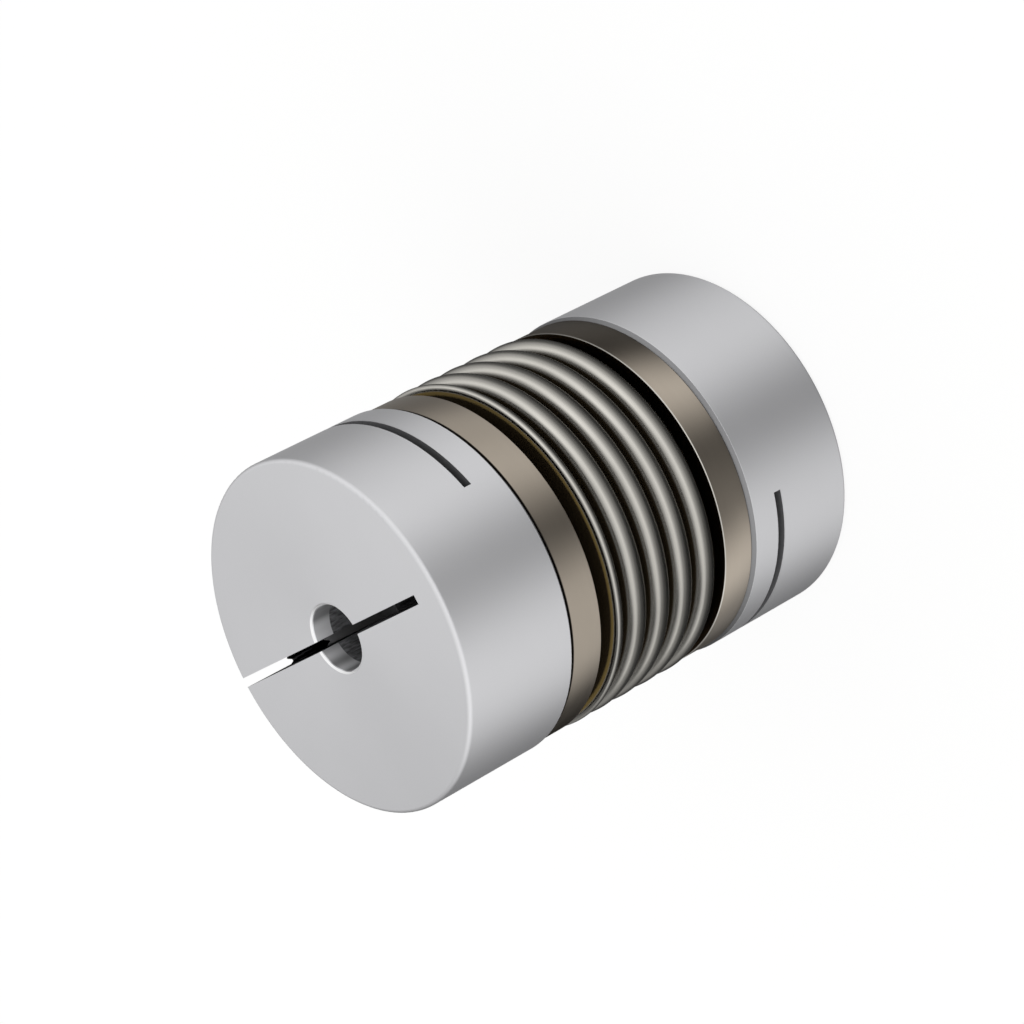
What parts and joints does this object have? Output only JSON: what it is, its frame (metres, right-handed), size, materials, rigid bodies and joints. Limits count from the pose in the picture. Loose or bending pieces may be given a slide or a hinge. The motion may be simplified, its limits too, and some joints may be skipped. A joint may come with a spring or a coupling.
{
  "type": "bellows coupling",
  "caption": "Torsionally stiff shaft coupling: slit clamp hubs with cross screws, joined by a thin corrugated metal tube under steel rings.",
  "frame": {"origin": "middle of the lower hub's end face, on the coupling's axis", "axes": "+Z along the coupling's axis from the lower hub to the upper hub; +Y points from the axis to the mouths of the slots and the clamp screws; +X to the upper hub's clamp jaw"},
  "size_m": [0.032, 0.032, 0.046],
  "materials": {
    "satin_aluminium": "fine turned, satin",
    "bronzed_steel": "turned, brown tempered tone",
    "stainless_steel": "rolled and formed, half bright",
    "black_oxide_steel": "black oxide"
  },
  "bodies": {
    "root": {"upper_hub": "satin_aluminium", "lower_hub": "satin_aluminium", "upper_ring": "bronzed_steel", "lower_ring": "bronzed_steel", "bellows": "stainless_steel", "upper_clamp_screw": "black_oxide_steel", "lower_clamp_screw": "black_oxide_steel"}
  },
  "joints": []
}
